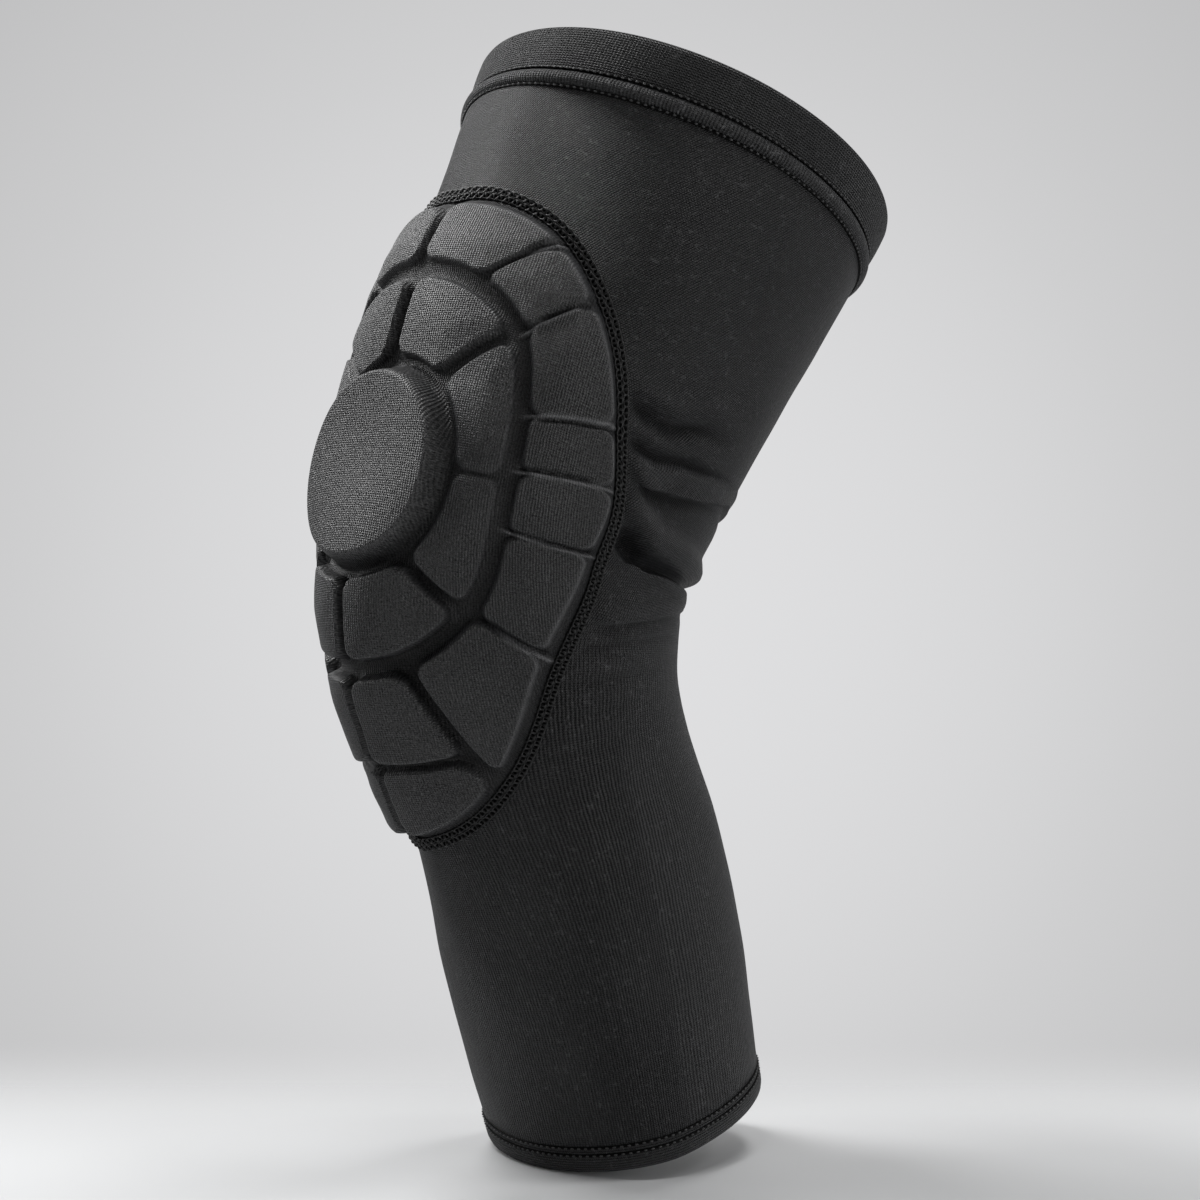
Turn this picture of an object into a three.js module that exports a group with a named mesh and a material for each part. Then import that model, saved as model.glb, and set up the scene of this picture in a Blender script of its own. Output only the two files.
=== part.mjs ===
// A long knit knee pad for riding, as worn on a bent knee: a stretch sleeve with a moulded pad of raised
// blocks sewn on its front. Lengths are in mm and angles in degrees. +Z is up, -Y is the front of the leg,
// +X is its right side in a front view, and the origin is the middle of the knee.
import * as THREE from 'three';
import { LoftGeometry } from 'three/addons/geometries/LoftGeometry.js';
import { mergeVertices } from 'three/addons/utils/BufferGeometryUtils.js';

// the leg's centre line: a straight shin, a round bend and a straight thigh that leans back
const THIGH_LEAN = 27;
const SHIN_LEAN = 13.5;
const BEND_RADIUS = 130;

// places along the centre line, from the middle of the bend, up positive
const HEM_BOTTOM = -183.5;
const HEM_TOP = -174;
const FOLDS_BOTTOM = -18;
const FOLDS_TOP = 78;
const WELT_BOTTOM = 153.5;
const WELT_TOP = 158.5;
const CUFF_TOP = 175.3;

// cloth
const SLEEVE_WALL = 1.6;
const CUFF_WALL = 1.8;
const HEM_WALL = 2.4;
const HEM_PROUD = 0.5;
const WELT_PROUD = 1.9;
const WELT_SHOULDER = 1.4;
const WELT_SHOULDER_AT = 1.7;
const JOINT_GAP = 0.3;
const AROUND = 36;
const FINE_STEP = 4;
const COARSE_STEP = 23;
const CUFF_STEP = 8;

// one row for each section of the leg: its place, half its width, its reach to the front and to the back of
// the centre line, how square its front half is (2 is an ellipse) and how much narrower it gets to the front
const SECTIONS = [
  { at: -190, width: 46.5, front: 33.5, back: 61.5, square: 2.0, taper: 0.00 },
  { at: -125, width: 51.0, front: 39.5, back: 64.5, square: 2.0, taper: 0.05 },
  { at: -80, width: 51.0, front: 45.0, back: 61.5, square: 2.0, taper: 0.35 },
  { at: -50, width: 50.0, front: 51.5, back: 55.5, square: 2.0, taper: 0.50 },
  { at: 0, width: 56.0, front: 63.5, back: 50.0, square: 2.0, taper: 0.20 },
  { at: 35, width: 58.5, front: 62.5, back: 54.0, square: 3.0, taper: 0.00 },
  { at: 80, width: 66.0, front: 72.0, back: 58.5, square: 2.2, taper: 0.00 },
  { at: 125, width: 71.0, front: 78.0, back: 66.5, square: 2.0, taper: 0.15 },
  { at: 180, width: 75.5, front: 78.5, back: 77.5, square: 2.0, taper: 0.00 },
];

// one row for each ridge (+) or valley (-) of the cloth behind the knee: its place beside the pad, on the
// side and at the back, how far the cloth moves out, half its breadth, and the turn of the leg where it ends
const FOLDS = [
  { edge: 63.0, side: 68.0, back: 72.0, rise: -1.3, breadth: 7.0, end: 115 },
  { edge: 51.5, side: 55.0, back: 62.0, rise: -2.0, breadth: 6.0, end: 130 },
  { edge: 46.5, side: 49.0, back: 61.0, rise: 1.8, breadth: 6.0, end: 220 },
  { edge: 42.0, side: 43.5, back: 54.0, rise: -3.2, breadth: 6.5, end: 220 },
  { edge: 31.0, side: 25.0, back: 26.0, rise: 3.0, breadth: 8.5, end: 220 },
  { edge: 22.5, side: 17.0, back: 18.5, rise: -5.0, breadth: 6.5, end: 220 },
  { edge: 14.0, side: 12.0, back: 12.5, rise: 1.8, breadth: 5.5, end: 220 },
  { edge: -2.5, side: -0.5, back: 6.5, rise: -2.4, breadth: 5.5, end: 220 },
  { edge: -10.5, side: -8.5, back: -4.0, rise: -1.2, breadth: 6.0, end: 125 },
];
const FOLD_EDGE = 80;
const FOLD_SIDE = 95;
const FOLD_BACK = 130;
const FOLD_FADE = 25;
const FOLD_STARTS = 8;
const FOLD_FULL = 20;

// pad layers, as heights above the sleeve; the layout is measured flat on the pad's face
const PAD_CENTRE = 26;
const PAD_FACE = 10;
const BASE_FLOOR = 0.9;
const BASE_TOP = 4.4;
const BASE_INSET = 3.0;
const BASE_STEPS = 7;
const BASE_POINTS = 48;
const SEAM_FLOOR = 0.8;
const SEAM_TOP = 2.2;
const SEAM_HALF = 2.6;
const SEAM_POINTS = 60;
const BLOCK_FLOOR = 5.1;
const INNER_TOP = 10.5;
const OUTER_TOP = 10.0;
const OUTER_SIDE_DROP = 2.0;
const BLOCK_CROWN = 0.4;
const BLOCK_POINTS = 12;
const BLOCK_SQUARE = 5;
const BLOCK_HALFWAY = 0.5;
const WALL_DRAFT = 0.8;
const EDGE_ROUND = 1.6;
const EDGE_INSET = 2.4;
const DISC_RADIUS = 33;
const DISC_TOP = 15.0;
const DISC_DISH = 2.5;
const DISC_POINTS = 24;
const DISC_STEPS = 3;
const RING_START = 37.5;
const RING_GROOVE = 5.8;
const CHIN_GROOVE = 3.2;
const OUTER_INSET = 4.2;

// one row for each direction from the disc's middle, clockwise from the top: the middle of the groove
// between the two rings of blocks, and the middle of the seam; the chin groove parts off the tip blocks
const PAD_OUTLINE = [
  { angle: 0, groove: 66.5, seam: 95.5 },
  { angle: 28, groove: 67.5, seam: 101.0 },
  { angle: 45, groove: 67.0, seam: 100.0 },
  { angle: 68, groove: 60.0, seam: 99.0 },
  { angle: 87, groove: 56.5, seam: 99.5 },
  { angle: 105, groove: 57.0, seam: 95.0 },
  { angle: 134, groove: 63.5, seam: 100.0 },
  { angle: 160, groove: 67.0, seam: 123.5 },
  { angle: 170, groove: 67.0, seam: 130.5 },
  { angle: 180, groove: 67.0, seam: 133.0 },
];
const CHIN_AT_SIDE = 105;
const CHIN_AT_MIDDLE = 100;
const CHIN_SIDE_ANGLE = 20;

// one row for each groove that parts two blocks of a ring: its direction at its inner and outer end, and
// its width
const INNER_GROOVES = [
  { inner: 0, outer: 0, gap: 4.5 },
  { inner: 38.5, outer: 45, gap: 5 },
  { inner: 88.6, outer: 87.7, gap: 2 },
  { inner: 140.3, outer: 136.2, gap: 5 },
  { inner: 180, outer: 180, gap: 3.5 },
];
const OUTER_GROOVES = [
  { inner: 0, outer: 0, gap: 4.5 },
  { inner: 25.5, outer: 33.5, gap: 2.2 },
  { inner: 46.6, outer: 47, gap: 1.6 },
  { inner: 68.4, outer: 70.7, gap: 1 },
  { inner: 85.1, outer: 83.9, gap: 1.2 },
  { inner: 104.3, outer: 100.8, gap: 1.4 },
  { inner: 134.1, outer: 131.8, gap: 2.4 },
  { inner: 160.8, outer: 159.3, gap: 5.5 },
  { inner: 180, outer: 180, gap: 3 },
];

// looks, from the photo
const LOOKS = {
  knit: { color: 0x2b2c2e, roughness: 0.82 },
  cuff: { color: 0x292a2c, roughness: 0.82 },
  welt: { color: 0x242527, roughness: 0.85 },
  base: { color: 0x1f2022, roughness: 0.85 },
  block: { color: 0x28292b, roughness: 0.78 },
  seam: { color: 0x131314, roughness: 0.9 },
};

const { degToRad, radToDeg, clamp, lerp, smoothstep } = THREE.MathUtils;
const TINY_STEP = 0.25;
const TINY_TURN = 0.25;
const WALK_TURN = 1.5;
const WALK_STEP = 1;

// smooth curve through one column of a table, looked up by its key column
function lookUp(rows, key, name, at) {
  let i = 0;
  while (i < rows.length - 2 && at > rows[i + 1][key]) {
    i += 1;
  }
  const slope = (j) => {
    const low = rows[Math.max(j - 1, 0)];
    const high = rows[Math.min(j + 1, rows.length - 1)];
    return (high[name] - low[name]) / (high[key] - low[key]);
  };
  const span = rows[i + 1][key] - rows[i][key];
  const t = (at - rows[i][key]) / span;
  const rest = 1 - t;
  const ends = rows[i][name] * rest * rest * (1 + 2 * t) + rows[i + 1][name] * t * t * (3 - 2 * t);
  return ends + span * t * rest * (slope(i) * rest - slope(i + 1) * t);
}

// point and lean of the centre line at a place along it
function centreLine(at) {
  const bend = degToRad(THIGH_LEAN + SHIN_LEAN);
  const middle = degToRad(THIGH_LEAN - SHIN_LEAN) / 2;
  const half = BEND_RADIUS * bend / 2;
  const inBend = clamp(at, -half, half);
  const lean = middle + inBend / BEND_RADIUS;
  const past = at - inBend;
  const y = BEND_RADIUS * (Math.cos(middle) - Math.cos(lean)) + past * Math.sin(lean);
  const z = BEND_RADIUS * (Math.sin(lean) - Math.sin(middle)) + past * Math.cos(lean);
  return { y, z, lean };
}

// point of the smooth leg; turn is 0 at the front, 90 on the right side and 180 at the back
function legPoint(at, turn) {
  const { y, z, lean } = centreLine(at);
  const c = Math.cos(degToRad(turn));
  const s = Math.sin(degToRad(turn));
  const taper = c > 0 ? lookUp(SECTIONS, 'at', 'taper', at) : 0;
  const square = c > 0 ? lookUp(SECTIONS, 'at', 'square', at) : 2;
  const out = (Math.abs(c) ** square + Math.abs(s) ** square) ** (-1 / square);
  const x = lookUp(SECTIONS, 'at', 'width', at) * out * s * (1 - taper * c * c);
  const reach = lookUp(SECTIONS, 'at', c > 0 ? 'front' : 'back', at) * out * c;
  return new THREE.Vector3(x, y - reach * Math.cos(lean), z + reach * Math.sin(lean));
}

function legNormal(at, turn) {
  const along = legPoint(at + TINY_STEP, turn).sub(legPoint(at - TINY_STEP, turn));
  const around = legPoint(at, turn + TINY_TURN).sub(legPoint(at, turn - TINY_TURN));
  return around.cross(along).normalize();
}

function lifted(at, turn, height) {
  return legPoint(at, turn).addScaledVector(legNormal(at, turn), height);
}

// flat pad layout: up is the length along the front of the pad's face from the disc's middle, and across is
// the length round the leg from that front line
const frontPlaces = [];
{
  let up = 0;
  let last = null;
  for (let at = HEM_BOTTOM; at <= CUFF_TOP; at += WALK_STEP) {
    const point = lifted(at, 0, PAD_FACE);
    up += last ? point.distanceTo(last) : 0;
    frontPlaces.push({ at, up });
    last = point;
  }
  const middle = lookUp(frontPlaces, 'at', 'up', PAD_CENTRE);
  for (const place of frontPlaces) {
    place.up -= middle;
  }
}

function walkAround(at, done) {
  let turn = 0;
  let across = 0;
  let last = lifted(at, 0, PAD_FACE);
  while (turn < 180) {
    const next = lifted(at, turn + WALK_TURN, PAD_FACE);
    const step = next.distanceTo(last);
    const part = done(turn, across, step);
    if (part !== null) {
      return part;
    }
    turn += WALK_TURN;
    across += step;
    last = next;
  }
  return across;
}

function turnAt(at, across) {
  const far = Math.abs(across);
  const reached = (turn, gone, step) => {
    const past = gone + step >= far;
    return past ? turn + WALK_TURN * (far - gone) / step : null;
  };
  return Math.sign(across) * walkAround(at, reached);
}

function acrossAt(at, turn) {
  const reached = (now, gone, step) => {
    const past = now + WALK_TURN >= turn;
    return past ? gone + step * (turn - now) / WALK_TURN : null;
  };
  return walkAround(at, reached);
}

// point of the pad from its direction and distance from the disc's middle and its height over the sleeve
function padPoint(angle, radius, height) {
  const across = radius * Math.sin(degToRad(angle));
  const at = lookUp(frontPlaces, 'up', 'at', radius * Math.cos(degToRad(angle)));
  return lifted(at, turnAt(at, across), height);
}

const outlineAt = (name, angle) => lookUp(PAD_OUTLINE, 'angle', name, Math.abs(angle));

// how far the cloth stands out of the smooth leg
function foldRise(at, turn) {
  const side = Math.abs(turn > 180 ? turn - 360 : turn);
  const up = lookUp(frontPlaces, 'at', 'up', at);
  const across = acrossAt(at, side);
  const clear = Math.hypot(up, across) - outlineAt('seam', radToDeg(Math.atan2(across, up)));
  const starts = smoothstep(clear, FOLD_STARTS, FOLD_FULL);
  const toSide = clamp((side - FOLD_EDGE) / (FOLD_SIDE - FOLD_EDGE), 0, 1);
  const toBack = clamp((side - FOLD_SIDE) / (FOLD_BACK - FOLD_SIDE), 0, 1);
  let rise = 0;
  for (const fold of FOLDS) {
    const middle = fold.edge + (fold.side - fold.edge) * toSide + (fold.back - fold.side) * toBack;
    const off = clamp((at - middle) / fold.breadth, -1, 1);
    const ends = 1 - smoothstep(side, fold.end - FOLD_FADE, fold.end);
    rise += fold.rise * starts * ends * (1 - off * off) ** 2;
  }
  return rise;
}

function ring(at, height) {
  const points = [];
  for (let i = 0; i < AROUND; i += 1) {
    const turn = 360 * i / AROUND;
    points.push(lifted(at, turn, height + foldRise(at, turn)));
  }
  return points;
}

// closed band round the leg through a loop of places and heights: up the outside and down the inside
function band(loop) {
  const rings = loop.map(({ at, height }) => ring(at, height));
  return new LoftGeometry([...rings, rings[0]]);
}

function places(from, to, step) {
  const count = Math.max(1, Math.round((to - from) / step));
  return Array.from({ length: count + 1 }, (_, i) => lerp(from, to, i / count));
}

function clothBand(rows, wall) {
  const outside = rows.map((at) => ({ at, height: 0 }));
  const inside = rows.map((at) => ({ at, height: -wall })).reverse();
  return band([...outside, ...inside]);
}

function sleeve() {
  const low = places(HEM_TOP + JOINT_GAP, FOLDS_BOTTOM, COARSE_STEP);
  const middle = places(FOLDS_BOTTOM, FOLDS_TOP, FINE_STEP);
  const high = places(FOLDS_TOP, WELT_BOTTOM - JOINT_GAP, COARSE_STEP);
  return clothBand([...low, ...middle.slice(1, -1), ...high], SLEEVE_WALL);
}

function upperCuff() {
  return clothBand(places(WELT_TOP + JOINT_GAP, CUFF_TOP, CUFF_STEP), CUFF_WALL);
}

function lowerHem() {
  const half = (HEM_TOP - HEM_BOTTOM) / 2;
  return band([
    { at: HEM_BOTTOM, height: 0 },
    { at: HEM_BOTTOM + HEM_PROUD, height: HEM_PROUD },
    { at: HEM_BOTTOM + half, height: HEM_PROUD },
    { at: HEM_TOP - HEM_PROUD, height: HEM_PROUD },
    { at: HEM_TOP, height: 0 },
    { at: HEM_TOP, height: HEM_PROUD - HEM_WALL },
    { at: HEM_BOTTOM, height: HEM_PROUD - HEM_WALL },
  ]);
}

function upperWelt() {
  const middle = (WELT_BOTTOM + WELT_TOP) / 2;
  return band([
    { at: WELT_BOTTOM, height: 0 },
    { at: middle - WELT_SHOULDER_AT, height: WELT_SHOULDER },
    { at: middle, height: WELT_PROUD },
    { at: middle + WELT_SHOULDER_AT, height: WELT_SHOULDER },
    { at: WELT_TOP, height: 0 },
    { at: WELT_TOP, height: -SLEEVE_WALL },
    { at: WELT_BOTTOM, height: -SLEEVE_WALL },
  ]);
}

// closed solid through rings of points that starts and ends in a single point
function solidLoft(sections) {
  const loft = new LoftGeometry(sections);
  const plain = new THREE.BufferGeometry();
  plain.setAttribute('position', loft.getAttribute('position'));
  plain.setIndex(loft.index);
  const merged = mergeVertices(plain);
  const corners = Array.from(merged.index.array);
  const kept = [];
  for (let i = 0; i < corners.length; i += 3) {
    const triangle = corners.slice(i, i + 3);
    if (new Set(triangle).size === triangle.length) {
      kept.push(...triangle);
    }
  }
  merged.setIndex(kept);
  merged.computeVertexNormals();
  return merged;
}

// ring of pad points, counterclockwise in a front view; radius is a function of direction
function padRing(count, radius, height) {
  const angles = Array.from({ length: count }, (_, i) => 180 - 360 * i / count);
  return angles.map((angle) => padPoint(angle, radius(angle), height));
}

function padBase() {
  const edge = (angle) => outlineAt('seam', angle) - BASE_INSET;
  const rings = (share, height) => padRing(BASE_POINTS, (angle) => share * edge(angle), height);
  const shares = places(0, 1, 1 / BASE_STEPS);
  const under = shares.map((share) => rings(share, BASE_FLOOR));
  const over = shares.map((share) => rings(share, BASE_TOP)).reverse();
  return solidLoft([...under, ...over]);
}

function padSeam() {
  const edge = (off, height) => padRing(SEAM_POINTS, (angle) => outlineAt('seam', angle) + off, height);
  const loop = [
    edge(SEAM_HALF, SEAM_FLOOR),
    edge(SEAM_HALF / 2, SEAM_TOP),
    edge(-SEAM_HALF / 2, SEAM_TOP),
    edge(-SEAM_HALF, SEAM_FLOOR),
  ];
  return new LoftGeometry([...loop, loop[0]]);
}

// flatter than the leg that it lies on, so its middle is lower over the sleeve than its rim
function kneecapDisc() {
  const flat = (radius, height) => padRing(DISC_POINTS, () => radius, height);
  const sections = [
    ...places(0, DISC_RADIUS, DISC_RADIUS / DISC_STEPS).map((radius) => flat(radius, BLOCK_FLOOR)),
    flat(DISC_RADIUS - WALL_DRAFT, DISC_TOP - EDGE_ROUND),
    flat(DISC_RADIUS - EDGE_INSET, DISC_TOP),
    flat(DISC_RADIUS * BLOCK_HALFWAY, DISC_TOP - DISC_DISH * (1 - BLOCK_HALFWAY ** 2)),
    flat(0, DISC_TOP - DISC_DISH),
  ];
  return solidLoft(sections);
}

// one block between two grooves and two distances, as rings of rounded quads from its floor to its top
function block({ first, second, near, far, top, mirror }) {
  const spot = (along, out) => {
    const share = (out + 1) / 2;
    const start = lerp(first.inner, first.outer, share);
    const stop = lerp(second.inner, second.outer, share);
    const guess = lerp(start, stop, (along + 1) / 2);
    const radius = lerp(near(guess), far(guess), share);
    const from = start + radToDeg(first.gap / 2 / radius);
    const to = stop - radToDeg(second.gap / 2 / radius);
    return { angle: lerp(from, to, (along + 1) / 2), radius };
  };
  const middle = spot(0, 0);
  const halfLong = degToRad(spot(1, 0).angle - spot(-1, 0).angle) * middle.radius / 2;
  const halfOut = (spot(0, 1).radius - spot(0, -1).radius) / 2;
  const quad = (share, inset, height) => {
    const points = [];
    for (let i = 0; i < BLOCK_POINTS; i += 1) {
      const turn = 2 * Math.PI * i / BLOCK_POINTS;
      const rounded = (value) => Math.sign(value) * Math.abs(value) ** (2 / BLOCK_SQUARE);
      const along = rounded(Math.cos(turn)) * share * (1 - inset / halfLong) * (mirror ? -1 : 1);
      const out = rounded(Math.sin(turn)) * share * (1 - inset / halfOut);
      const { angle, radius } = spot(along, out);
      points.push(padPoint(mirror ? -angle : angle, radius, height));
    }
    return points;
  };
  const sections = [
    quad(0, 0, BLOCK_FLOOR),
    quad(BLOCK_HALFWAY, 0, BLOCK_FLOOR),
    quad(1, 0, BLOCK_FLOOR),
    quad(1, WALL_DRAFT, top - EDGE_ROUND),
    quad(1, EDGE_INSET, top),
    quad(BLOCK_HALFWAY, EDGE_INSET, top + BLOCK_CROWN),
    quad(0, EDGE_INSET, top + BLOCK_CROWN),
  ];
  return solidLoft(sections);
}

const group = new THREE.Group();

function add(name, geometry, look) {
  const mesh = new THREE.Mesh(geometry, new THREE.MeshStandardMaterial({ ...LOOKS[look], metalness: 0 }));
  mesh.name = name;
  group.add(mesh);
}

function addBlocks(prefix, grooves, near, far, top) {
  for (const [side, mirror] of [['right', false], ['left', true]]) {
    for (let i = 0; i + 1 < grooves.length; i += 1) {
      const [first, second] = [grooves[i], grooves[i + 1]];
      const last = i + 2 === grooves.length;
      const outer = (angle) => far(angle, last);
      const height = top((first.inner + second.inner) / 2);
      const geometry = block({ first, second, near, far: outer, top: height, mirror });
      add(`${prefix}_${side}_${i + 1}`, geometry, 'block');
    }
  }
}

const chinAt = (angle) => lerp(CHIN_AT_MIDDLE, CHIN_AT_SIDE, (180 - Math.abs(angle)) / CHIN_SIDE_ANGLE);
const padEdge = (angle) => outlineAt('seam', angle) - OUTER_INSET;
const innerFar = (angle) => outlineAt('groove', angle) - RING_GROOVE / 2;
const outerNear = (angle) => outlineAt('groove', angle) + RING_GROOVE / 2;
const outerFar = (angle, last) => (last ? chinAt(angle) - CHIN_GROOVE / 2 : padEdge(angle));
const outerTop = (angle) => OUTER_TOP - OUTER_SIDE_DROP * Math.sin(degToRad(angle)) ** 2;

add('sleeve', sleeve(), 'knit');
add('upper_cuff', upperCuff(), 'cuff');
add('upper_welt', upperWelt(), 'welt');
add('lower_hem', lowerHem(), 'cuff');
add('pad_base', padBase(), 'base');
add('pad_seam', padSeam(), 'seam');
add('kneecap_disc', kneecapDisc(), 'block');
addBlocks('inner_block', INNER_GROOVES, () => RING_START, innerFar, () => INNER_TOP);
addBlocks('outer_block', OUTER_GROOVES, outerNear, outerFar, outerTop);
for (const [side, mirror] of [['right', false], ['left', true]]) {
  const [first, second] = OUTER_GROOVES.slice(-2);
  const near = (angle) => chinAt(angle) + CHIN_GROOVE / 2;
  const geometry = block({ first, second, near, far: padEdge, top: outerTop(180), mirror });
  add(`tip_block_${side}`, geometry, 'block');
}

export default group;
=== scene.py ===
"""A long knit knee pad on a bent knee: folded stretch sleeve, cloth-covered block pad, seams and stitches."""

import math

import bpy
import numpy as np
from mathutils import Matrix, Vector


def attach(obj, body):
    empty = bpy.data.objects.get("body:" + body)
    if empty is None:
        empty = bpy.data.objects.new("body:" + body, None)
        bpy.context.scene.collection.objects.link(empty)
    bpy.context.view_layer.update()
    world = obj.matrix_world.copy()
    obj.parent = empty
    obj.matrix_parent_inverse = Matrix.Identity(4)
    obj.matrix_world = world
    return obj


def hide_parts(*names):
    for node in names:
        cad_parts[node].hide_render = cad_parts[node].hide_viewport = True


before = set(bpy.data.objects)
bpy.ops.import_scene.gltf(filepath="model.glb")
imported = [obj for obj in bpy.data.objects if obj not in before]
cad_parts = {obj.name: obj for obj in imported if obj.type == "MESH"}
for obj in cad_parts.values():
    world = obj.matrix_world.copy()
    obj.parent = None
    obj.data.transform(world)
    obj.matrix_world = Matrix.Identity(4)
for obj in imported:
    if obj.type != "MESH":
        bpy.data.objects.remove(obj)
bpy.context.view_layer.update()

MM = 0.001

# The leg, in mm and degrees, as in the part's source: its bend, and a row for each section with its place
# along the centre line, half width, reach to the front and back, squareness and taper of its front half.
THIGH_LEAN = 27.0
SHIN_LEAN = 13.5
BEND_RADIUS = 130.0
SECTIONS = np.array([
    (-190, 46.5, 33.5, 61.5, 2.0, 0.00),
    (-125, 51.0, 39.5, 64.5, 2.0, 0.05),
    (-80, 51.0, 45.0, 61.5, 2.0, 0.35),
    (-50, 50.0, 51.5, 55.5, 2.0, 0.50),
    (0, 56.0, 63.5, 50.0, 2.0, 0.20),
    (35, 58.5, 62.5, 54.0, 3.0, 0.00),
    (80, 66.0, 72.0, 58.5, 2.2, 0.00),
    (125, 71.0, 78.0, 66.5, 2.0, 0.15),
    (180, 75.5, 78.5, 77.5, 2.0, 0.00),
])
WIDTH, FRONT, BACK, SQUARE, TAPER = 1, 2, 3, 4, 5
ROUND_BACK = 2
TINY = 1e-12
NORMAL_STEP = 6.0
NORMAL_TURN = 0.25

HEM_BOTTOM = -183.5
HEM_TOP = -174.0
WELT_BOTTOM = 153.5
WELT_TOP = 158.5
CUFF_TOP = 175.3
SLEEVE_WALL = 1.6
JOINT_GAP = 0.3

# The pad's layout on its face: direction clockwise from the top, the middle of the groove between the two
# rings of blocks, and the middle of the seam.
PAD_CENTRE = 26.0
PAD_FACE = 10.0
OUTLINE = np.array([
    (0, 66.5, 95.5), (28, 67.5, 101.0), (45, 67.0, 100.0), (68, 60.0, 99.0), (87, 56.5, 99.5),
    (105, 57.0, 95.0), (134, 63.5, 100.0), (160, 67.0, 123.5), (170, 67.0, 130.5), (180, 67.0, 133.0),
])
GROOVE, SEAM = 1, 2
# Direction of each groove between two blocks at its inner and outer end, and its width. The two grooves at
# the top aren't mirrored: their inner and outer ends are turned clockwise by the angles of their lean.
INNER_GROOVES = [(0, 0, 5.8), (38.5, 45, 4.5), (88.6, 87.7, 2), (140.3, 136.2, 4.5), (180, 180, 3)]
OUTER_GROOVES = [
    (0, 0, 4.0), (25.5, 33.5, 1.5), (46.6, 47, 0.8), (68.4, 70.7, 0.3), (85.1, 83.9, 0.6),
    (104.3, 100.8, 0.9), (134.1, 131.8, 1.8), (160.8, 159.3, 5), (180, 180, 2),
]
INNER_LEAN = (-6.0, 0.0)
OUTER_LEAN = (0.0, 1.5)
NO_LEAN = (0, 0)
GROOVE_REACH = 0.25
RING_START = 37.5
RING_GROOVE = 6.4
# the groove across the bottom, above the tip blocks
CHIN_GROOVE = 3.2
CHIN_AT_MIDDLE = 100.0
CHIN_AT_SIDE = 105.0
CHIN_SIDE_ANGLE = 20.0

# Heights over the sleeve. Each drop or rise has the angles or radii between which it comes in or fades. The
# chest is the top of the pad, the jaw its lower part and the tip its bottom. The disc's face is flatter than
# the leg and tilted.
BASE_TOP = 7.2
BASE_SIDE_DROP = 2.7
BASE_SIDE_BLEND = 8
BASE_LOW_DROP = 1.4
BASE_LOW_ANGLES = (90, 140)
BASE_EDGE = 1.2
BASE_EDGE_STARTS, BASE_EDGE_FULL = 6.5, 1.6
INNER_TOP = 10.5
INNER_SIDE_DROP = 2.3
OUTER_TOP = 10.0
OUTER_SIDE_DROP = 2.0
CHEST_DROP = 3.8
CHEST_ANGLES = (10, 40)
CHEST_RADII = (70, 96)
TIP_DROP = 2.4
TIP_ANGLES = (140, 158)
TIP_STARTS, TIP_FULL = 14, 8
JAW_RISE = 1.3
JAW_ANGLES = (128, 150)
JAW_RADII = (76, 92)
DISC_TOP = 16.3
DISC_TILT = -1.9
DISC_TILT_MIDDLE = 0.4
DISC_FLAT = 2.5
DISC_RADIUS = 33.0
DISC_FACE = 30.3
DISC_WALL = (-5.2, 0.9)
# a block's crown, corners and walls, and how far the outer blocks stop from the seam
BLOCK_CROWN = 0.6
CROWN_DEPTHS = (0.5, 12)
BLOCK_CORNER = 4.5
BLOCK_WALL = (-1.0, 0.9)
RAMP_FOOT, RAMP_SHARE = -3.2, 0.2
OUTER_SLOPE = 0.62
OUTER_INSET = 5.4
SIDE_INSET = 2.2
SIDE_INSET_STARTS = (40, 125)
SIDE_INSET_ENDS = (148, 168)

# Lips (+) and slits (-) where bending pinches the cloth between two outer blocks: the groove, the line's
# distance below it, rise and half breadth, and the shares of the groove from the ring's inner edge where it
# starts and ends.
PINCHES = [
    (1, -0.3, -1.8, 1.2, 0.5, 0.97),
    (1, 1.0, 0.7, 1.2, 0.45, 0.97),
    (2, -1.0, -1.5, 1.1, 0.2, 0.95),
    (2, 0.3, 1.5, 1.1, -0.05, 0.75),
    (3, 1.3, -1.7, 1.0, 0.1, 0.97),
    (3, 0.0, 1.5, 0.9, -0.05, 0.97),
    (4, -1.3, -1.7, 1.0, 0.0, 0.7),
    (4, 0.0, 1.4, 0.9, -0.05, 0.97),
    (5, -1.3, -1.5, 1.0, 0.0, 0.95),
    (5, 0.0, 1.4, 0.9, -0.05, 0.97),
    (6, -1.4, -1.0, 1.2, 0.1, 0.95),
    (6, 0.4, 1.1, 1.3, 0.25, 0.97),
]
PINCH_FADE_IN, PINCH_FADE_OUT = 0.18, 0.12

# Painted highlight on the edges of blocks, their rims beside the seam and the lips: how much lighter the
# cloth is painted there, and where on an edge.
EDGE_HIGHLIGHT = 0.15
RIM_HIGHLIGHT = 0.34
RIM_STARTS, RIM_FULL = 5, 1
LIP_HIGHLIGHT = 0.9
EDGE_AT, EDGE_HALF = 0.4, 0.7

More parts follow.
